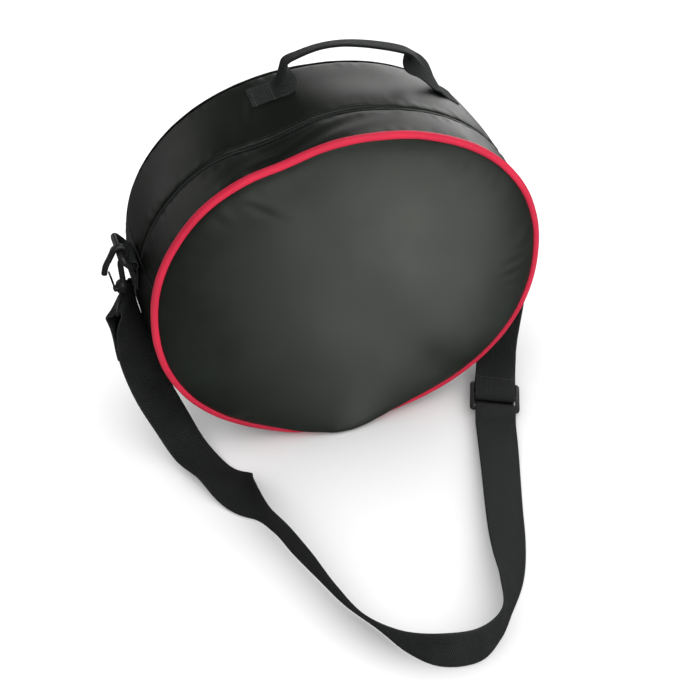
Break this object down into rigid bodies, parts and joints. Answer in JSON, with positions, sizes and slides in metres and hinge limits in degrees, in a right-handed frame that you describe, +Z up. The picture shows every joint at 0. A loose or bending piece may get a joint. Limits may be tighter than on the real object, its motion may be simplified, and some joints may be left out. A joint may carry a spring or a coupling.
{
  "type": "scuba regulator bag",
  "caption": "Oval padded black nylon bag with red front piping, a zip over the top, a webbing handle and a clip-on shoulder strap.",
  "frame": {"origin": "on the floor under the middle of the bag, strap and clips left out", "axes": "+X to the bag's right as seen from the front, +Y from the front panel to the back panel, +Z up"},
  "size_m": [0.4083, 0.4367, 0.3434],
  "materials": {
    "black_nylon": "smooth padded nylon with a soft sheen",
    "red_cord": "woven satin piping",
    "black_webbing": "ribbed polypropylene webbing",
    "zip_tape": "woven zip tape with coil teeth",
    "black_plastic": "moulded black plastic",
    "dark_metal": "black coated metal"
  },
  "bodies": {
    "root": {"front_panel": "black_nylon", "back_panel": "black_nylon", "front_piping": "red_cord", "front_zip_band": "black_nylon", "back_zip_band": "black_nylon", "base_band": "black_nylon", "zip": "zip_tape", "zip_slider": "dark_metal", "handle": "black_webbing", "left_tab": "black_webbing", "right_tab": "black_webbing", "left_d_ring": "black_plastic", "right_d_ring": "black_plastic", "left_hook": "black_plastic", "left_swivel": "black_plastic", "right_hook": "black_plastic", "strap": "black_webbing", "triglide": "black_plastic"},
    "hook_gate": {"left_hook_gate": "dark_metal"}
  },
  "joints": [
    {"name": "hook_gate_hinge", "type": "hinge", "parent": "root", "child": "hook_gate", "pos_m": [-0.1959, -0.008, 0.1715], "axis": [0, 1, 0], "range_deg": [0, 25], "stiffness_Nm_per_rad": 0.01}
  ]
}
